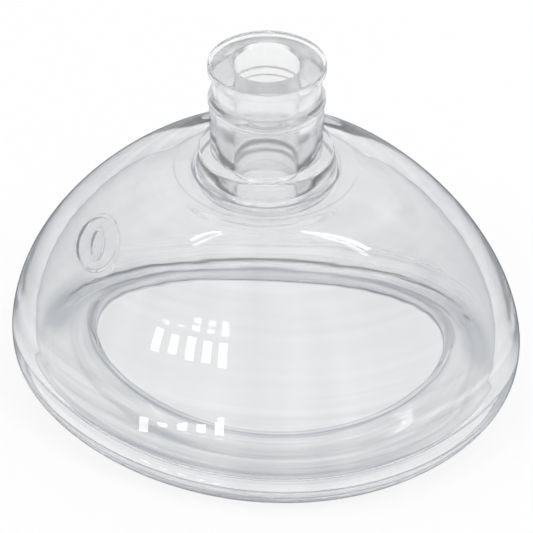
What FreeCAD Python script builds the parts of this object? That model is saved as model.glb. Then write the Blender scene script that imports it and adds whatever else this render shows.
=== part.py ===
import FreeCAD, Part
import math
import os

# Silicone resuscitation mask for infants, size 0, moulded in one piece.
# Millimetres, Z up. The origin is on the connector's axis, in the plane of the rim's lowest points.
# X runs along the mask's length, with the wide chin end at +X, and Y runs across it.

# Rim, seen from above
rim_length = 76.1
rim_width = 61.5
chin_widening = 0.061
belly_height = 4.9
rim_tuck = 2.2
rim_thickness = 3.4
fold_height = 2.6
heel_width = 1.4
heel_height = 0.15
end_rise = 3.15

# Dome between the rim and the connector
dome_top = 38.2
shoulder_radius = 14.5
wall = 2.0
end_power = 1.6
end_sharpness = 0.6
side_power = 0.5
side_sharpness = 0.5

# Soft lip that turns in from the rim, with the opening for the face
opening_length = 51.9
opening_width = 36.4
opening_height = 4.3
opening_end_rise = 3.7
opening_shift = 0.8
lip_thickness = 1.6
lip_sag = 0.6

# Connector, a turned shape on the Z axis with its root in the dome's top
connector_top = 55.5
flange_radius = 8.25
flange_thickness = 1.45
groove_radius = 7.65
sealing_ring_height = 49.65
sealing_ring_radius = 8.25
sealing_ring_width = 1.8
tube_top_radius = 8.05
tube_foot_radius = 7.9
stop_ring_radius = 9.7
stop_ring_top = 41.4
root_radius = 9.4
root_depth = 1.4
bore_radius = 4.55
bore_lead_in = 0.6
edge_round = 0.35
foot_fillet = 1.2
fillet_sink = 0.1

# Sections lofted round one half of the mask, points along one skin of a section, and turns round the rim.
# The guide station gives the spacing of the points in all sections, so that the lofted skins stay plain.
half_stations = 9
guide_station = math.pi / 4
skin_points = 8
outer_skin_start = 0.03
inner_skin_start = 0.07
rim_turns = (math.pi / 10, math.pi / 3.6, math.pi / 2)


def vec(x, y, z):
    return FreeCAD.Vector(x, y, z)


def shares(points):
    """How far along a row of points each of them lies, from 0 to 1."""
    lengths = [(there - here).Length for here, there in zip(points, points[1:])]
    return [sum(lengths[:i]) / sum(lengths) for i in range(len(points))]


def curve(points, spacing):
    line = Part.BSplineCurve()
    line.interpolate(Points=points, Parameters=spacing)
    return line.toShape()


def oval_point(half_length, half_width, height, rise, widening, around):
    """Point of an egg-shaped oval with both ends lifted by rise."""
    x = half_length * math.cos(around)
    y = half_width * math.sin(around) * (1 + widening * math.cos(around))
    return vec(x, y, height + rise * math.cos(around) ** 2)


def dome_point(up, around, inset):
    """Point of the dome's skin, where up is 0 at the rim's belly and 1 at the shoulder."""
    long_share = (1 - up ** end_power) ** end_sharpness
    cross_share = (1 - up ** side_power) ** side_sharpness
    half_length = shoulder_radius + (rim_length / 2 - shoulder_radius) * long_share - inset
    half_width = shoulder_radius + (rim_width / 2 - shoulder_radius) * cross_share - inset
    height = belly_height + (dome_top - inset - belly_height) * up
    reach = 2 * half_length / rim_length
    rise = end_rise * long_share * reach ** 2
    return oval_point(half_length, half_width, height, rise, chin_widening * long_share * reach, around)


def thickness(up):
    """Wall thickness at a height share: even on the dome, and growing towards the rim."""
    return wall + (rim_thickness - wall) * (1 - up) ** 2


def height_shares(start):
    """Height shares from start up to the shoulder, closer together at both ends."""
    first = math.asin(math.sqrt(start))
    step = (math.pi / 2 - first) / (skin_points - 1)
    return [math.sin(first + step * i) ** 2 for i in range(skin_points - 1)] + [1.0]


def rim_point(inset, height, around):
    """Point inside the rim's outline by inset, at a height above the rim's lowest line."""
    return oval_point(rim_length / 2 - inset, rim_width / 2 - inset, height, end_rise, chin_widening, around)


def wall_rows(around):
    """Rows of points round the wall at one station: dome, rolled rim, lip's edge, lip's top and ceiling."""
    outer = [dome_point(up, around, 0) for up in height_shares(outer_skin_start)]
    inner = [dome_point(up, around, thickness(up)) for up in height_shares(inner_skin_start)]
    rim = [outer[0]]
    for turn in rim_turns:
        rim.append(rim_point(rim_tuck * (1 - math.cos(turn)), belly_height * (1 - math.sin(turn)), around))
    bottom = rim[-1]
    heel = rim_point(rim_tuck + heel_width, heel_height, around)
    fold = rim_point(rim_thickness, fold_height, around)
    edge = oval_point(opening_length / 2, opening_width / 2, opening_height, opening_end_rise,
                      chin_widening * opening_length / rim_length, around)
    edge = edge + vec(opening_shift, 0, 0)
    inward = (edge - bottom).normalize()
    above = inward.cross(vec(0, 0, 1)).cross(inward).normalize()
    half = lip_thickness / 2
    under_edge = edge - inward * half - above * half
    over_edge = edge - inward * half + above * half
    under_middle = (bottom + under_edge) * 0.5 - above * lip_sag
    over_middle = (fold + over_edge) * 0.5 - above * lip_sag
    return [outer[::-1], rim + [heel, under_middle, under_edge], [under_edge, edge, over_edge],
            [over_edge, over_middle, fold], [fold] + inner]


def wall_section(around):
    """Closed outline of the wall at one station, with the flat top of the dome cut off inside the connector."""
    rows = wall_rows(around)
    spacings = [shares(row) for row in wall_rows(guide_station)]
    core_radius = (bore_radius + tube_foot_radius) / 2
    core = vec(core_radius * math.cos(around), core_radius * math.sin(around), dome_top)
    core_under = core - vec(0, 0, wall)
    curves = [curve(row, spacing) for row, spacing in zip(rows, spacings)]
    return Part.Wire([Part.makeLine(core, rows[0][0])] + curves
                     + [Part.makeLine(rows[-1][-1], core_under), Part.makeLine(core_under, core)])


def make_shell():
    """Dome, rim and lip: one half lofted from the chin end to the nose end, and its mirror image."""
    sections = [wall_section(math.pi * i / (half_stations - 1)) for i in range(half_stations)]
    half = Part.makeLoft(sections, True, False)
    other = half.mirror(vec(0, 0, 0), vec(0, 1, 0))
    skins = [face for side in (half, other) for face in side.Faces if abs(face.CenterOfMass.y) > wall / 2]
    shell = Part.Shell(skins)
    shell.sewShape()
    return Part.Solid(shell)


def make_connector():
    """Top flange, sealing ring, tapered tube and stop ring, with a root through the dome's top."""
    root = dome_top - wall - root_depth
    groove_top = connector_top - flange_thickness
    ring_half = sealing_ring_width / 2
    fillet_top = vec(stop_ring_radius, 0, dome_top + foot_fillet)
    fillet_end = vec(stop_ring_radius + foot_fillet, 0, dome_top - fillet_sink)
    sink = foot_fillet * (1 - math.sqrt(0.5))
    fillet_middle = vec(stop_ring_radius + sink, 0, dome_top + sink - fillet_sink / 2)
    lower = Part.makePolygon([
        fillet_end, vec(root_radius, 0, dome_top - wall / 2), vec(root_radius, 0, root),
        vec(bore_radius, 0, root), vec(bore_radius, 0, connector_top - bore_lead_in),
        vec(bore_radius + bore_lead_in, 0, connector_top), vec(flange_radius, 0, connector_top),
        vec(flange_radius, 0, groove_top), vec(groove_radius, 0, groove_top),
        vec(groove_radius, 0, sealing_ring_height + ring_half)])
    bead = Part.Arc(vec(groove_radius, 0, sealing_ring_height + ring_half),
                    vec(sealing_ring_radius, 0, sealing_ring_height),
                    vec(tube_top_radius, 0, sealing_ring_height - ring_half)).toShape()
    upper = Part.makePolygon([
        vec(tube_top_radius, 0, sealing_ring_height - ring_half), vec(tube_foot_radius, 0, stop_ring_top),
        vec(stop_ring_radius, 0, stop_ring_top), fillet_top])
    fillet = Part.Arc(fillet_top, fillet_middle, fillet_end).toShape()
    outline = Part.Wire(lower.Edges + [bead] + upper.Edges + [fillet])
    return Part.Face(outline).revolve(vec(0, 0, 0), vec(0, 0, 1), 360)


def make_mask():
    mask = make_shell().fuse(make_connector())
    rounded = [edge for edge in mask.Edges if edge.Curve.TypeId == "Part::GeomCircle"
               and edge.Curve.Radius > flange_radius - 0.01
               and (edge.BoundBox.ZMin > stop_ring_top - 0.01)]
    return mask.makeFillet(edge_round, rounded)


os.makedirs("parts", exist_ok=True)
make_mask().exportStep("parts/mask.step")
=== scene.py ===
import math
import bpy
import numpy as np
from mathutils import Matrix, Vector


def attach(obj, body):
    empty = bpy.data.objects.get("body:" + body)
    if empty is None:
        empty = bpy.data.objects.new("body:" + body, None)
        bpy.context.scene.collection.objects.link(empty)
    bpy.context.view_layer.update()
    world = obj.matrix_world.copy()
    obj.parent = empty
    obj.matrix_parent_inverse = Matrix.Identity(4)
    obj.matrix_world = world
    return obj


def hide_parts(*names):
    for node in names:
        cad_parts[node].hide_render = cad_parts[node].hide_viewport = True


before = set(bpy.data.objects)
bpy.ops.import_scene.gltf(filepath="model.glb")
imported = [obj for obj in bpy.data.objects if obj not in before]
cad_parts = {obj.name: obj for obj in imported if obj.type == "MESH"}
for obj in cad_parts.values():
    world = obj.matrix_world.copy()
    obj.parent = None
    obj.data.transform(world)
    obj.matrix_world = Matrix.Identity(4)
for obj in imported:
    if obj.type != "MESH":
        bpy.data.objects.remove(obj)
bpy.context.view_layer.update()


# Resuscitation mask for infants, one moulding of clear silicone with no insert or joint. Its outline is
# egg-shaped and the section changes evenly round it, so the skin is made of rings: each ring is an oval
# through one point of the mask's end section and one point of its side section.
rim_length = 0.07604
rim_width = 0.06146
chin_widening = 0.061
connector_top = 0.0555


def ring(end_reach, end_height, side_reach, side_height, skew=0.0, shift=0.0):
    return np.array((end_reach, end_height, side_reach, side_height, skew, shift))


def round_ring(radius, height):
    return ring(radius, height, radius, height)


def lengths_down(rings):
    """How far along the wall each ring lies, as the mean of the end section and the side section."""
    steps = np.hypot(*np.diff(rings[:, 0:2], axis=0).T) + np.hypot(*np.diff(rings[:, 2:4], axis=0).T)
    return np.concatenate(([0], np.cumsum(steps / 2)))


def smooth(rings, step):
    """Rings about one step apart on a smooth curve through the given rings."""
    rings = np.array(rings)
    knots = lengths_down(rings)
    spans = np.diff(knots)
    slopes = np.diff(rings, axis=0) / spans[:, None]
    system = np.eye(len(knots))
    bends = np.zeros_like(rings)
    for i in range(1, len(knots) - 1):
        system[i, i - 1:i + 2] = spans[i - 1], 2 * (spans[i - 1] + spans[i]), spans[i]
        bends[i] = 6 * (slopes[i] - slopes[i - 1])
    bends = np.linalg.solve(system, bends)
    places = np.linspace(0, knots[-1], int(knots[-1] / step) + 1)
    spots = np.clip(np.searchsorted(knots, places) - 1, 0, len(spans) - 1)
    span = spans[spots][:, None]
    low = (knots[spots + 1] - places)[:, None]
    high = (places - knots[spots])[:, None]
    return ((bends[spots] * low ** 3 + bends[spots + 1] * high ** 3) / (6 * span)
            + (rings[spots] / span - bends[spots] * span / 6) * low
            + (rings[spots + 1] / span - bends[spots + 1] * span / 6) * high)


# Connector, turned: top flange, groove, sealing ring, tapered tube and stop ring. Each corner of the
# outline has a radius, a height and the length that its rounding takes off.
flange_radius = 0.00825
flange_thickness = 0.00145
groove_radius = 0.00765
sealing_ring_height = 0.04965
sealing_ring_radius = 0.00825
sealing_ring_width = 0.0018
tube_top_radius = 0.00805
tube_foot_radius = 0.0079
stop_ring_radius = 0.0097
stop_ring_top = 0.0414
bore_radius = 0.00455
bore_lead_in = 0.0006
root_radius = 0.0094
root_depth = 0.0014
edge_round = 0.00035
foot_fillet = 0.0012
dome_top = 0.0382
shoulder_radius = 0.0145
wall = 0.002
round_steps = 3
turned_step = 0.0015


def turned(corners):
    """Rings down a turned outline with its corners rounded."""
    line = [Vector(corners[0][:2])]
    for before, corner, after in zip(corners, corners[1:], corners[2:]):
        place = Vector(corner[:2])
        start = place + (Vector(before[:2]) - place).normalized() * corner[2]
        end = place + (Vector(after[:2]) - place).normalized() * corner[2]
        for i in range(round_steps + 1):
            t = i / round_steps
            line.append(start * (1 - t) ** 2 + place * (2 * t * (1 - t)) + end * t * t)
    line.append(Vector(corners[-1][:2]))
    rings = []
    for here, there in zip(line, line[1:]):
        cuts = max(1, round((there - here).length / turned_step))
        rings += [round_ring(*here.lerp(there, i / cuts)) for i in range(cuts)]
    return rings + [round_ring(*line[-1])]


groove_top = connector_top - flange_thickness
ring_top = sealing_ring_height + sealing_ring_width / 2
ring_foot = sealing_ring_height - sealing_ring_width / 2
ring_edge = sealing_ring_width / 4
ceiling = dome_top - wall
connector = turned([
    (bore_radius, sealing_ring_height, 0),
    (bore_radius, connector_top - bore_lead_in, edge_round / 2),
    (bore_radius + bore_lead_in, connector_top, edge_round / 2),
    (flange_radius, connector_top, edge_round),
    (flange_radius, groove_top, edge_round),
    (groove_radius, groove_top, edge_round / 2),
    (groove_radius, ring_top, edge_round / 2),
    (sealing_ring_radius, sealing_ring_height + ring_edge, edge_round),
    (sealing_ring_radius, sealing_ring_height - ring_edge, edge_round),
    (tube_top_radius, ring_foot, edge_round / 2),
    (tube_foot_radius, stop_ring_top, edge_round / 2),
    (stop_ring_radius, stop_ring_top, edge_round),
    (stop_ring_radius, dome_top, foot_fillet),
    (shoulder_radius, dome_top, 0)])
root = turned([
    (shoulder_radius - wall, ceiling, 0),
    (root_radius, ceiling, edge_round),
    (root_radius, ceiling - root_depth, edge_round),
    (bore_radius, ceiling - root_depth, edge_round),
    (bore_radius, sealing_ring_height, 0)])

# Dome, a wall that grows thicker towards the rim. Its ends fall from a flat top in one round curve, and
# its sides sweep in below the shoulder and flare out again to the rim.
rim_thickness = 0.0034
belly_height = 0.0049
end_rise = 0.00315
end_power = 1.6
end_sharpness = 0.6
side_power = 0.5
side_sharpness = 0.5
skin_step = 0.0007


def thickness(up):
    """Wall thickness at a height share: even on the dome, and growing towards the rim."""
    return wall + (rim_thickness - wall) * (1 - up) ** 2


def dome_ring(up, inner=False):
    """Ring of the dome's outer or inner skin, where up is 0 at the rim's belly and 1 at the shoulder."""
    inset = thickness(up) if inner else 0
    long_share = (1 - up ** end_power) ** end_sharpness
    cross_share = (1 - up ** side_power) ** side_sharpness
    end_reach = shoulder_radius + (rim_length / 2 - shoulder_radius) * long_share - inset
    side_reach = shoulder_radius + (rim_width / 2 - shoulder_radius) * cross_share - inset
    height = belly_height + (dome_top - inset - belly_height) * up
    reach = 2 * end_reach / rim_length
    rise = end_rise * long_share * reach ** 2
    skew = side_reach * chin_widening * long_share * reach
    return ring(end_reach, height + rise, side_reach, height, skew)


def skin_place(one_ring, around):
    """Point of a ring at an angle round the mask."""
    end_reach, end_height, side_reach, side_height, skew, shift = one_ring
    along, across = math.cos(around), math.sin(around)
    return Vector((end_reach * along + shift, (side_reach + skew * along) * across,
                   side_height + (end_height - side_height) * along ** 2))


# Size mark, the number 0 in a ring, raised on the front of the nose end's shoulder. The rings of points
# lie closer together there, so that its edges come out crisp.
mark_around = math.radians(214.9)
mark_up = 0.746
mark_turn = math.radians(-28)
mark_radius = 0.0041
mark_line = 0.0006
mark_height = 0.00034
mark_edge = 0.00012
zero_width = 0.0023
zero_height = 0.0043
mark_reach = 0.0052
mark_step = 0.00014
track_points = 1200


def dome_skin(lowest, inner):
    """Rings down one skin of the dome, closer together in the outer skin's band of the size mark."""
    ups = np.sin(np.linspace(math.pi / 2, math.asin(math.sqrt(lowest)), track_points)) ** 2
    track = [skin_place(dome_ring(up, inner), mark_around) for up in ups]
    lengths = np.concatenate(([0], np.cumsum([(b - a).length for a, b in zip(track, track[1:])])))
    middle = np.interp(-mark_up, -ups, lengths)
    cuts = [0, lengths[-1]]
    steps = [skin_step]
    if not inner:
        cuts[1:1] = [middle - mark_reach, middle + mark_reach]
        steps = [skin_step, mark_step, skin_step]
    targets = [0]
    for start, end, step in zip(cuts, cuts[1:], steps):
        targets += list(np.linspace(start, end, math.ceil((end - start) / step) + 1)[1:])
    return [dome_ring(float(np.interp(target, lengths, ups)), inner) for target in targets]


# Rim and lip. The dome's foot rolls over into a thick soft bead, and a thin lip turns in from the bead and
# leaves the oval opening for the face.
rim_tuck = 0.0022
fold_height = 0.0026
fold_round = 0.0006
opening_length = 0.0519
opening_width = 0.0364
opening_height = 0.0043
opening_end_rise = 0.0037
opening_shift = 0.0008
lip_thickness = 0.0016
lip_sag = 0.0006
lip_edge_points = 5
rim_turns = (math.pi / 10, math.pi / 3.6, math.pi / 2)
skin_shares = (0.16, 0.11, 0.07)
lowest_share = 0.03
rim_step = 0.00035
heel_width = 0.0014
heel_height = 0.00015


def rim_ring(inset, height):
    """Ring inside the rim's outline by inset, at a height above the rim's lowest line."""
    side_reach = rim_width / 2 - inset
    return ring(rim_length / 2 - inset, height + end_rise, side_reach, height, side_reach * chin_widening)


def rolled_ring(turn):
    """Ring of the bead, where turn goes from 0 at the rim's belly to a quarter turn at its bottom."""
    return rim_ring(rim_tuck * (1 - math.cos(turn)), belly_height * (1 - math.sin(turn)))


bottom = rim_ring(rim_tuck, 0)
heel = rim_ring(rim_tuck + heel_width, heel_height)
edge = ring(opening_length / 2, opening_height + opening_end_rise, opening_width / 2, opening_height,
            opening_width / 2 * chin_widening * opening_length / rim_length, opening_shift)
end_run = Vector(edge[0:2] - bottom[0:2]).normalized()
side_run = Vector(edge[2:4] - bottom[2:4]).normalized()
inward = ring(*end_run, *side_run)
above = ring(end_run.y, -end_run.x, side_run.y, -side_run.x)
half = lip_thickness / 2
lip_edge = [edge - inward * half * (1 - math.cos(turn)) + above * half * math.sin(turn)
            for turn in np.linspace(-math.pi / 2, math.pi / 2, lip_edge_points)]
under_lip = (bottom + lip_edge[0]) / 2 - above * lip_sag
fold = rim_ring(rim_thickness, fold_height)
over_lip = (fold + lip_edge[-1]) / 2 - above * lip_sag
outer_foot = [dome_ring(share) for share in skin_shares + (lowest_share,)]
inner_foot = [dome_ring(share, True) for share in skin_shares]
rolled = [rolled_ring(turn) for turn in rim_turns]
folded = [fold + inward * fold_round, fold + (inward + above) * fold_round * (1 - math.sqrt(0.5)),
          rim_ring(rim_thickness, fold_height + fold_round)]
foot = smooth(outer_foot + rolled + [heel, under_lip] + lip_edge + [over_lip] + folded + inner_foot[::-1],
              rim_step)
first_foot = int(np.argmin(np.abs(foot - outer_foot[1]).sum(axis=1)))
last_foot = int(np.argmin(np.abs(foot - inner_foot[1]).sum(axis=1)))

outside = dome_skin(skin_shares[1], False)
inside = dome_skin(skin_shares[1], True)
rings = np.array(connector + outside[1:-1] + list(foot[first_foot:last_foot + 1])
                 + inside[-2:0:-1] + root[:-1])

# The section's rings go on a line of points, as shares of the mask's sizes. The tree sweeps them round.
# Each ring also knows how far along the wall it lies.
points_round = 264
closeness = 0.8
lengths_along = lengths_down(rings)
section = bpy.data.meshes.new("clear_mask")
section.from_pydata([skin_place(one, 0) for one in rings], [], [])
share_sizes = {"end reach": rim_length / 2, "end height": connector_top, "side reach": rim_width / 2,
               "side height": connector_top, "chin skew": rim_width / 2 * chin_widening,
               "shift": rim_length / 2}
for (name, size), column in zip(share_sizes.items(), rings.T):
    section.attributes.new(name, "FLOAT", "POINT").data.foreach_set("value", column / size)
section.attributes.new("length along", "FLOAT", "POINT").data.foreach_set("value", lengths_along)

mark_place = skin_place(dome_ring(mark_up), mark_around)
nudge = 0.0005
level_way = (skin_place(dome_ring(mark_up), mark_around + nudge) - mark_place).normalized()
climb_way = (skin_place(dome_ring(mark_up + nudge), mark_around) - mark_place).normalized()
mark_outward = climb_way.cross(level_way).normalized()
climb_way = level_way.cross(mark_outward)
mark_upward = (climb_way * math.cos(mark_turn) + level_way * math.sin(mark_turn)).normalized()
mark_across = mark_upward.cross(mark_outward)

sweep = bpy.data.node_groups.new("rings swept round the mask", "GeometryNodeTree")
sweep.interface.new_socket("Geometry", in_out="OUTPUT", socket_type="NodeSocketGeometry")
sweep_inputs = [
    ("Section", "NodeSocketGeometry", None),
    ("Rim length", "NodeSocketFloat", rim_length),
    ("Rim width", "NodeSocketFloat", rim_width),
    ("Height", "NodeSocketFloat", connector_top),
    ("Chin widening", "NodeSocketFloat", chin_widening),
    ("Points round", "NodeSocketInt", points_round),
    ("Closeness at the mark", "NodeSocketFloat", closeness),
    ("Mark around", "NodeSocketFloat", mark_around),
    ("Mark place", "NodeSocketVector", mark_place),
    ("Mark across", "NodeSocketVector", mark_across),
    ("Mark upward", "NodeSocketVector", mark_upward),
    ("Mark radius", "NodeSocketFloat", mark_radius),
    ("Mark line", "NodeSocketFloat", mark_line),
    ("Mark edge", "NodeSocketFloat", mark_edge),
    ("Mark height", "NodeSocketFloat", mark_height),
    ("Zero width", "NodeSocketFloat", zero_width),
    ("Zero height", "NodeSocketFloat", zero_height),
    ("Skin depth", "NodeSocketFloat", wall / 2),
    ("Material", "NodeSocketMaterial", None),
]
for name, kind, value in sweep_inputs:
    sweep.interface.new_socket(name, in_out="INPUT", socket_type=kind)
given = sweep.nodes.new("NodeGroupInput").outputs


def join(value, socket):
    """Links a node's input to another node's output, or sets it to a plain value."""
    if isinstance(value, bpy.types.NodeSocket):
        socket.id_data.links.new(value, socket)
    else:
        socket.default_value = value


def feed(node, **values):
    """Links or sets the inputs of a node by name, and returns its first output."""
    for name, value in values.items():
        join(value, node.inputs[name.replace("_", " ")])
    return node.outputs[0]


def calc(operation, *values):
    """Adds a Math node to the tree that the values come from, and returns its output."""
    tree = next(value.id_data for value in values if isinstance(value, bpy.types.NodeSocket))
    node = tree.nodes.new("ShaderNodeMath")
    node.operation = operation
    for value, socket in zip(values, node.inputs):
        join(value, socket)
    return node.outputs[0]


def total(*values):
    result = values[0]
    for value in values[1:]:
        result = calc("ADD", result, value)
    return result


def product(*values):
    result = values[0]
    for value in values[1:]:
        result = calc("MULTIPLY", result, value)
    return result


def distance(x, y):
    return calc("SQRT", total(product(x, x), product(y, y)))


def mapped(kind, **values):
    """Maps a value from one range to another, evenly (LINEAR) or softly (SMOOTHSTEP)."""
    node = values["Value"].id_data.nodes.new("ShaderNodeMapRange")
    node.interpolation_type = kind
    return feed(node, **values)


def vector_calc(operation, output, first, second):
    node = sweep.nodes.new("ShaderNodeVectorMath")
    node.operation = operation
    join(first, node.inputs[0])
    join(second, node.inputs[1])
    return node.outputs[output]


# Flat sheet of points, one column for each place round the mask and one row for each ring.
size_node = sweep.nodes.new("GeometryNodeAttributeDomainSize")
feed(size_node, Geometry=given["Section"])
ring_count = size_node.outputs["Point Count"]
sheet = sweep.nodes.new("GeometryNodeMeshGrid")
feed(sheet, Size_X=1.0, Size_Y=1.0, Vertices_X=calc("ADD", given["Points round"], 1),
     Vertices_Y=calc("ADD", ring_count, 1))
spot = sweep.nodes.new("ShaderNodeSeparateXYZ")
feed(spot, Vector=sweep.nodes.new("GeometryNodeInputPosition").outputs[0])
turn = product(spot.outputs["X"], -math.tau)
around = total(turn, given["Mark around"],
               product(given["Closeness at the mark"], calc("SINE", turn), -1))
row = calc("MODULO", calc("ROUND", product(calc("ADD", spot.outputs["Y"], 0.5), ring_count)), ring_count)


def ring_share(name):
    """A number that the section carries, read at this point's ring."""
    attribute = sweep.nodes.new("GeometryNodeInputNamedAttribute")
    attribute.data_type = "FLOAT"
    sample = sweep.nodes.new("GeometryNodeSampleIndex")
    sample.data_type = "FLOAT"
    return feed(sample, Geometry=given["Section"], Value=feed(attribute, Name=name), Index=row)


# Each point goes to its ring's oval.
half_length = product(given["Rim length"], 0.5)
half_width = product(given["Rim width"], 0.5)
along = calc("COSINE", around)
across = calc("SINE", around)
long_square = product(along, along)
bow = total(product(ring_share("side reach"), half_width),
            product(ring_share("chin skew"), half_width, given["Chin widening"], along))
rise = calc("SUBTRACT", ring_share("end height"), ring_share("side height"))
place = sweep.nodes.new("ShaderNodeCombineXYZ")
feed(place, X=total(product(ring_share("end reach"), half_length, along),
                    product(ring_share("shift"), half_length)),
     Y=product(bow, across),
     Z=product(given["Height"], total(ring_share("side height"), product(rise, long_square))))

# The flow of the rubber along and round the wall goes with the points for the material to read. It is
# stored while the sheet still lies flat.
merge_distance = 0.000001
flow = sweep.nodes.new("ShaderNodeCombineXYZ")
feed(flow, X=ring_share("length along"), Y=product(along, half_length), Z=product(across, half_length))
flowing = sweep.nodes.new("GeometryNodeStoreNamedAttribute")
flowing.data_type = "FLOAT_VECTOR"
feed(flowing, Geometry=sheet.outputs["Mesh"], Name="flow", Value=flow.outputs[0])
placed = sweep.nodes.new("GeometryNodeSetPosition")
feed(placed, Geometry=flowing.outputs[0], Position=place.outputs[0])
closed = sweep.nodes.new("GeometryNodeMergeByDistance")
feed(closed, Geometry=placed.outputs[0], Distance=merge_distance)

# The mark's lines are raised along the skin's own direction. Each point's distance from the 0 is its
# place as a share of the oval's size, divided by how fast that share grows.
least_share = 0.01
least_growth = 1
offset = vector_calc("SUBTRACT", "Vector", sweep.nodes.new("GeometryNodeInputPosition").outputs[0],
                     given["Mark place"])
mark_x = vector_calc("DOT_PRODUCT", "Value", offset, given["Mark across"])
mark_y = vector_calc("DOT_PRODUCT", "Value", offset, given["Mark upward"])
mark_out = vector_calc("CROSS_PRODUCT", "Vector", given["Mark across"], given["Mark upward"])
mark_depth = calc("ABSOLUTE", vector_calc("DOT_PRODUCT", "Value", offset, mark_out))
ring_gap = calc("ABSOLUTE", calc("SUBTRACT", distance(mark_x, mark_y), given["Mark radius"]))
half_zero_width = product(given["Zero width"], 0.5)
half_zero_height = product(given["Zero height"], 0.5)
zero_x = calc("DIVIDE", mark_x, half_zero_width)
zero_y = calc("DIVIDE", mark_y, half_zero_height)
zero_share = distance(zero_x, zero_y)
zero_slope = distance(calc("DIVIDE", zero_x, half_zero_width), calc("DIVIDE", zero_y, half_zero_height))
zero_growth = calc("DIVIDE", zero_slope, calc("MAXIMUM", zero_share, least_share))
zero_gap = calc("DIVIDE", calc("ABSOLUTE", calc("SUBTRACT", zero_share, 1)),
                calc("MAXIMUM", zero_growth, least_growth))
line_gap = calc("MINIMUM", ring_gap, zero_gap)
half_line = product(given["Mark line"], 0.5)
ridge = mapped("SMOOTHSTEP", Value=line_gap, From_Min=calc("SUBTRACT", half_line, given["Mark edge"]),
               From_Max=calc("ADD", half_line, given["Mark edge"]), To_Min=1.0, To_Max=0.0)
near_skin = calc("LESS_THAN", mark_depth, given["Skin depth"])
outward = sweep.nodes.new("ShaderNodeVectorMath")
outward.operation = "SCALE"
feed(outward, Vector=sweep.nodes.new("GeometryNodeInputNormal").outputs[0],
     Scale=product(ridge, near_skin, given["Mark height"]))
raised = sweep.nodes.new("GeometryNodeSetPosition")
feed(raised, Geometry=closed.outputs[0], Offset=outward.outputs[0])
shaded = sweep.nodes.new("GeometryNodeSetShadeSmooth")
feed(shaded, Geometry=raised.outputs[0])
whole = sweep.nodes.new("GeometryNodeRealizeInstances")
feed(whole, Geometry=shaded.outputs[0])
finished = sweep.nodes.new("GeometryNodeSetMaterial")
feed(finished, Geometry=whole.outputs[0], Material=given["Material"])
join(finished.outputs[0], sweep.nodes.new("NodeGroupOutput").inputs[0])

# Clear silicone: glass-like with a soft milky share. Its tint is greyer on the dome than in the lip and
# the tube. Painted shade makes it greyest in thin lines along the rim and at the ends. Fine flow streaks
# run round the mask and broad ones down it, and painted shade darkens the wall where it is seen edge on.
clear_tint = (0.995, 0.996, 0.998, 1)
cloudy_tint = (0.38, 0.405, 0.445, 1)
milk = 0.1
light_bending = 1.41


def length_at(one_ring):
    return float(lengths_along[np.argmin(np.abs(rings - one_ring).sum(axis=1))])


# Places along the wall, and the lengths over which one finish goes over into the next.
dome_start = float(lengths_along[len(connector)])
rim_start = length_at(outer_foot[1])
lip_top = length_at(over_lip)
fold_place = length_at(folded[1])
rim_end = length_at(inner_foot[0])
root_start = float(lengths_along[-len(root)])
bore_start = float(lengths_along[-len(root) // 2])
wall_length = float(lengths_along[-1])
shoulder_blend = 0.006
dome_blend = 0.016
rim_blend = 0.006

# Finish at these places: how grey the wall is, how strong its flow streaks are, and how rough it is.
finishes = [
    (0, (0.0, 0.5, 0.17)),
    (dome_start, (0.02, 0.3, 0.08)),
    (dome_start + shoulder_blend, (0.12, 0.15, 0.0)),
    (dome_start + dome_blend, (0.28, 0.12, 0.0)),
    (rim_start - rim_blend, (0.25, 0.1, 0.0)),
    (rim_start, (0.22, 1.0, 0.0)),
    (length_at(rolled[0]), (0.0, 0.9, 0.0)),
    (length_at(under_lip), (0.0, 2.0, 0.01)),
    (lip_top, (0.0, 2.0, 0.01)),
    (rim_end, (0.14, 1.0, 0.0)),
    (rim_end + rim_blend, (0.15, 0.1, 0.0)),
    (root_start, (0.13, 0.3, 0.02)),
    (bore_start, (0.0, 0.3, 0.1)),
    (wall_length, (0.0, 0.3, 0.1)),
]

# Painted shade in thin grey lines under the stop ring, on the bead, along the lip and in its fold, and in
# two faint broad bands across the lip's front. Each has a place along the wall, a reach to both sides, and
# its grey.
stop_ring_line = 0.0046
shoulder_line = 0.002
lip_across = fold_place - lip_top
painted_shade_lines = [
    (dome_start - stop_ring_line, 0.0003, 1.4),
    (dome_start - shoulder_line, 0.0003, 0.4),
    (length_at(outer_foot[-1]), 0.0004, 0.5),
    (length_at(rolled_ring(math.radians(18))), 0.00024, 1.3),
    (length_at(rolled_ring(math.radians(28))), 0.0002, 1.3),
    (length_at(rolled_ring(math.radians(64))), 0.0004, 0.9),
    (length_at(under_lip), 0.0004, 0.3),
    (length_at(lip_edge[0]), 0.0002, 0.6),
    (length_at(lip_edge[-1]), 0.0003, 1.1),
    (fold_place, 0.0003, 0.7),
]
painted_shade_bands = [
    (lip_top + 0.22 * lip_across, 0.0022, 0.05),
    (lip_top + 0.85 * lip_across, 0.0026, 0.12),
]

# Group that draws one grey line of painted shade round the mask.
shade_line_group = bpy.data.node_groups.new("grey line", "ShaderNodeTree")
for name in ("Length along", "Place", "Reach", "Grey"):
    shade_line_group.interface.new_socket(name, in_out="INPUT", socket_type="NodeSocketFloat")
shade_line_group.interface.new_socket("Mask", in_out="OUTPUT", socket_type="NodeSocketFloat")
line_given = shade_line_group.nodes.new("NodeGroupInput").outputs
line_offset = calc("SUBTRACT", line_given["Length along"], line_given["Place"])
line_shape = mapped("SMOOTHSTEP", Value=calc("ABSOLUTE", line_offset), From_Max=line_given["Reach"],
                    To_Min=line_given["Grey"], To_Max=0)
join(line_shape, shade_line_group.nodes.new("NodeGroupOutput").inputs[0])

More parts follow.
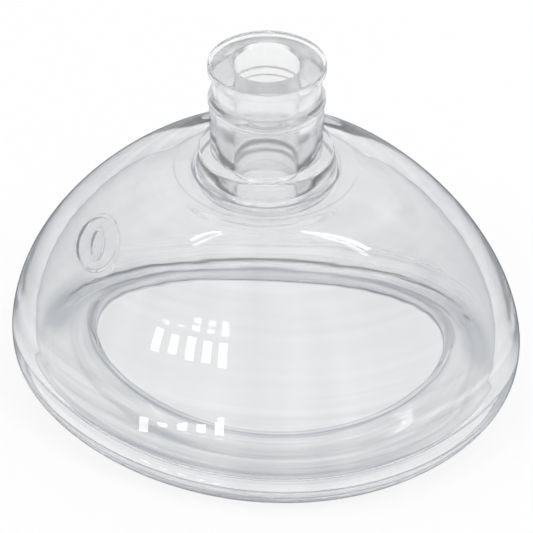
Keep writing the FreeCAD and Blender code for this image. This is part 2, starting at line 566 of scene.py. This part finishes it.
silicone = bpy.data.materials.new("clear silicone")
silicone.use_nodes = True
nodes = silicone.node_tree.nodes
skin = nodes["Principled BSDF"]
skin.inputs["Transmission Weight"].default_value = 1 - milk
skin.inputs["IOR"].default_value = light_bending
skin.inputs["Coat Weight"].default_value = 1
skin.inputs["Coat IOR"].default_value = 1
flow_place = nodes.new("ShaderNodeAttribute")
flow_place.attribute_name = "flow"
flow_parts = nodes.new("ShaderNodeSeparateXYZ")
feed(flow_parts, Vector=flow_place.outputs["Vector"])
length_along, flow_along, flow_across = flow_parts.outputs


def set_stops(ramp, stops):
    """Gives a colour ramp its stops, of which the first and the last stand at its ends."""
    elements = ramp.color_ramp.elements
    elements[0].color = (*stops[0][1], 1)
    elements[1].color = (*stops[-1][1], 1)
    for position, colour in stops[1:-1]:
        elements.new(position).color = (*colour, 1)


finish_ramp = nodes.new("ShaderNodeValToRGB")
feed(finish_ramp, Fac=calc("DIVIDE", length_along, wall_length))
set_stops(finish_ramp, [(length / wall_length, values) for length, values in finishes])
finish = nodes.new("ShaderNodeSeparateColor")
feed(finish, Color=finish_ramp.outputs["Color"])
greyness, streakiness, roughness = finish.outputs

# Noise drawn out along the flow: streaks round the mask, finer ones, the same more softly for the
# bump, and streaks down the wall.
round_stretch = (350, 10, 10)
fine_stretch = (1100, 12, 12)
down_stretch = (14, 100, 100)
noise_middle = 0.5


def streaks(stretch, detail):
    stretched = nodes.new("ShaderNodeMapping")
    feed(stretched, Vector=flow_place.outputs["Vector"], Scale=stretch)
    noise = nodes.new("ShaderNodeTexNoise")
    feed(noise, Vector=stretched.outputs["Vector"], Scale=1, Detail=detail)
    return noise.outputs["Fac"]


broad = streaks(round_stretch, 3)
fine = streaks(fine_stretch, 3)
gentle = streaks(round_stretch, 1)
down = streaks(down_stretch, 2)


def draw_shade_lines(rows):
    """Sum of the painted shade of some lines, drawn with the group."""
    drawn = 0.0
    for place, reach, grey in rows:
        line = nodes.new("ShaderNodeGroup")
        line.node_tree = shade_line_group
        feed(line, Length_along=length_along, Place=place, Reach=reach, Grey=grey)
        drawn = calc("ADD", drawn, line.outputs["Mask"])
    return drawn


# Painted shade in lines round the mask and in broad bands across the lip's front.
shade_lines = draw_shade_lines(painted_shade_lines)
shade_bands = draw_shade_lines(painted_shade_bands)

# Greys that change round the mask: lines and streaks are fainter at the back, where two crescents of
# painted shade darken the fold at the ends.
back_from = -0.01
back_to = 0.002
kept_at_back = 0.25
crescent_reach = 0.006
crescent_sink = 0.002
crescent_shade = 1.2
crescent_sharpness = 4
down_strength = 0.4
back_share = mapped("SMOOTHSTEP", Value=flow_across, From_Min=back_from, From_Max=back_to)
front_share = calc("SUBTRACT", 1, back_share)
more_in_front = total(product(front_share, 1 - kept_at_back), kept_at_back)
streak_share = product(streakiness, more_in_front)
end_share = calc("POWER", calc("DIVIDE", flow_along, rim_length / 2), crescent_sharpness)
crescent_gap = calc("ABSOLUTE", calc("SUBTRACT", length_along, fold_place - crescent_sink))
shade_crescents = mapped("SMOOTHSTEP", Value=crescent_gap, From_Max=crescent_reach, To_Min=crescent_shade,
                   To_Max=0)

# Wall that is seen edge on: a thin grey line in the rubber and a darker shade in the coat, which is
# weaker on the tube. Both are painted shade, in part for the longer path that light takes through the
# rubber there.
edge_shade = (0.85, 0.86, 0.875, 1)
no_shade = (1, 1, 1, 1)
edge_shade_grey = 0.6
edge_grey_sharpness = 9
edge_shade_sharpness = 4
tube_edge_share = 0.3
tube_fade = 0.003
facing = nodes.new("ShaderNodeLayerWeight").outputs["Facing"]
edge_shade_line = product(calc("POWER", facing, edge_grey_sharpness), edge_shade_grey)
edge_share = calc("POWER", facing, edge_shade_sharpness)
for tube_end, dome_end in ((dome_start, dome_start + tube_fade), (root_start, root_start - tube_fade)):
    less_on_tube = mapped("LINEAR", Value=length_along, From_Min=tube_end, From_Max=dome_end,
                          To_Min=tube_edge_share)
    edge_share = product(edge_share, less_on_tube)

# The tint's grey: the rubber's own grey and flow streaks, plus painted shade at the edges, in the
# crescents, lines and bands.
cloudiness = total(greyness, edge_shade_line, product(shade_crescents, product(end_share, back_share)),
                   product(shade_lines, more_in_front), product(shade_bands, front_share),
                   product(calc("SUBTRACT", broad, noise_middle), streak_share),
                   product(calc("SUBTRACT", fine, noise_middle), streak_share),
                   product(calc("SUBTRACT", down, noise_middle), down_strength))
tint = nodes.new("ShaderNodeMix")
tint.data_type = "RGBA"
feed(tint, A=clear_tint, B=cloudy_tint, Factor=cloudiness)
edge_tint = nodes.new("ShaderNodeMix")
edge_tint.data_type = "RGBA"
feed(edge_tint, A=no_shade, B=edge_shade, Factor=edge_share)
crease_depth = 0.6
bump_strength = 0.3
bump_depth = 0.0001
bump = nodes.new("ShaderNodeBump")
feed(bump, Strength=bump_strength, Distance=bump_depth,
     Height=calc("SUBTRACT", gentle, product(shade_lines, crease_depth)))
feed(skin, Base_Color=tint.outputs["Result"], Roughness=roughness, Coat_Tint=edge_tint.outputs["Result"],
     Normal=bump.outputs["Normal"])

mask = bpy.data.objects.new("clear_mask", section)
bpy.context.scene.collection.objects.link(mask)
sweeper = mask.modifiers.new("sweep", "NODES")
sweeper.node_group = sweep
values = {name: value for name, kind, value in sweep_inputs}
values["Material"] = silicone
for socket in sweep.interface.items_tree:
    if socket.in_out == "INPUT" and values[socket.name] is not None:
        sweeper[socket.identifier] = values[socket.name]
graph = bpy.context.evaluated_depsgraph_get()
moulded = bpy.data.meshes.new_from_object(mask.evaluated_get(graph), depsgraph=graph)
mask.modifiers.clear()
mask.data = moulded
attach(mask, "root")
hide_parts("mask")


# Table, a plain white sheet that the mask stands on. The camera and the clear wall see it glow white, and
# a share of it stays matt and keeps a soft shadow.
table_reach = 3.0
table_gap = 0.00005
paper_white = (0.93, 0.93, 0.935, 1)
glow_white = (0.99, 0.99, 0.99, 1)
glow_share = 0.85
table_sheet = bpy.data.meshes.new("table")
corners = [(-table_reach, -table_reach), (table_reach, -table_reach), (table_reach, table_reach),
           (-table_reach, table_reach)]
table_sheet.from_pydata([(x, y, -table_gap) for x, y in corners], [], [(0, 1, 2, 3)])
table = bpy.data.objects.new("table", table_sheet)
bpy.context.scene.collection.objects.link(table)
paper = bpy.data.materials.new("white table")
paper.use_nodes = True
nodes = paper.node_tree.nodes
nodes.remove(nodes["Principled BSDF"])
matt = nodes.new("ShaderNodeBsdfDiffuse")
feed(matt, Color=paper_white)
glow = nodes.new("ShaderNodeEmission")
feed(glow, Color=glow_white)
rays = nodes.new("ShaderNodeLightPath").outputs
seen = calc("MAXIMUM", calc("MAXIMUM", rays["Is Camera Ray"], rays["Is Glossy Ray"]),
            rays["Is Transmission Ray"])
mix = nodes.new("ShaderNodeMixShader")
feed(mix, Fac=product(seen, glow_share))
join(matt.outputs[0], mix.inputs[1])
join(glow.outputs[0], mix.inputs[2])
join(mix.outputs[0], nodes["Material Output"].inputs["Surface"])
table_sheet.materials.append(paper)


# Studio light: a sky of light and darker bands above the horizon, which draws the grey lines in the clear
# wall while the camera itself sees plain white. Two tall soft boxes and a row of five low window panes
# give the highlights.
plain_white = (0.97, 0.97, 0.97, 1)
sky_bands = [
    (0.0, (0.97, 0.97, 0.97)),
    (0.47, (0.97, 0.97, 0.97)),
    (0.52, (0.8, 0.81, 0.825)),
    (0.57, (1.05, 1.05, 1.05)),
    (0.62, (0.68, 0.69, 0.71)),
    (0.67, (0.8, 0.81, 0.825)),
    (0.7, (1.2, 1.2, 1.2)),
    (0.75, (0.75, 0.76, 0.78)),
    (0.82, (1.1, 1.1, 1.1)),
    (0.88, (0.85, 0.86, 0.875)),
    (0.94, (1.05, 1.05, 1.05)),
    (1.0, (0.95, 0.955, 0.965)),
]
world = bpy.data.worlds.new("studio")
bpy.context.scene.world = world
world.use_nodes = True
nodes = world.node_tree.nodes
sky_way = nodes.new("ShaderNodeSeparateXYZ")
feed(sky_way, Vector=nodes.new("ShaderNodeTexCoord").outputs["Generated"])
bands_ramp = nodes.new("ShaderNodeValToRGB")
feed(bands_ramp, Fac=mapped("LINEAR", Value=sky_way.outputs["Z"], From_Min=-1))
set_stops(bands_ramp, sky_bands)
plain = nodes.new("ShaderNodeMix")
plain.data_type = "RGBA"
feed(plain, A=bands_ramp.outputs["Color"], B=plain_white,
     Factor=nodes.new("ShaderNodeLightPath").outputs["Is Camera Ray"])
feed(nodes["Background"], Color=plain.outputs["Result"])

# Each soft box has a place, a width, a height and a power. The panes get theirs from their height.
soft_boxes = [((-0.233, -0.217, 0.348), 0.02, 0.216, 0.19), ((0.252, -0.092, 0.392), 0.03, 0.284, 0.36)]
pane_heights = (0.009, 0.006, 0.008, 0.005, 0.01)
pane_width = 0.009
pane_start = np.array((-0.049, -0.188, 0.0065))
pane_step = np.array((-0.0144, 0.0108, 0))
pane_power = 0.35
soft_boxes += [(pane_start + pane_step * i, pane_width, tall, pane_power * tall)
               for i, tall in enumerate(pane_heights)]
mask_middle = Vector((0, 0, 0.02))
for place, width, tall, power in soft_boxes:
    lamp = bpy.data.lights.new("soft box", "AREA")
    lamp.shape = "RECTANGLE"
    lamp.size = width
    lamp.size_y = tall
    lamp.energy = power
    box = bpy.data.objects.new("soft box", lamp)
    bpy.context.scene.collection.objects.link(box)
    towards = (mask_middle - Vector(place)).to_track_quat("-Z", "Y")
    box.matrix_world = Matrix.Translation(Vector(place)) @ towards.to_matrix().to_4x4()
    box.visible_camera = False


# Camera, at the photograph's height and side, close enough for its perspective. It looks at the middle of
# the mask, and a small shift brings that to its place in the frame.
camera_elevation = math.radians(37.56)
camera_azimuth = math.radians(6.77)
camera_roll = math.radians(0.48)
camera_distance = 0.3516
sensor_width = 36.0
pixels_per_metre = 6823
frame_pixels = 533
axis_pixels = (265.412, 266.094)
nearest_seen = 0.01
away = Vector((math.sin(camera_azimuth) * math.cos(camera_elevation),
               -math.cos(camera_azimuth) * math.cos(camera_elevation), math.sin(camera_elevation)))
level = Vector((math.cos(camera_azimuth), math.sin(camera_azimuth), 0))
upright = away.cross(level)
right = level * math.cos(camera_roll) + upright * math.sin(camera_roll)
over = upright * math.cos(camera_roll) - level * math.sin(camera_roll)
lens = bpy.data.cameras.new("camera")
lens.sensor_width = sensor_width
lens.lens = pixels_per_metre * camera_distance / frame_pixels * sensor_width
lens.shift_x = (frame_pixels / 2 - axis_pixels[0]) / frame_pixels
lens.shift_y = (axis_pixels[1] - frame_pixels / 2) / frame_pixels
lens.clip_start = nearest_seen
camera = bpy.data.objects.new("camera", lens)
bpy.context.scene.collection.objects.link(camera)
turned_to = Matrix((right, over, away)).transposed().to_4x4()
camera.matrix_world = Matrix.Translation(mask_middle + away * camera_distance) @ turned_to
bpy.context.scene.camera = camera
bpy.context.scene.view_settings.view_transform = "Standard"
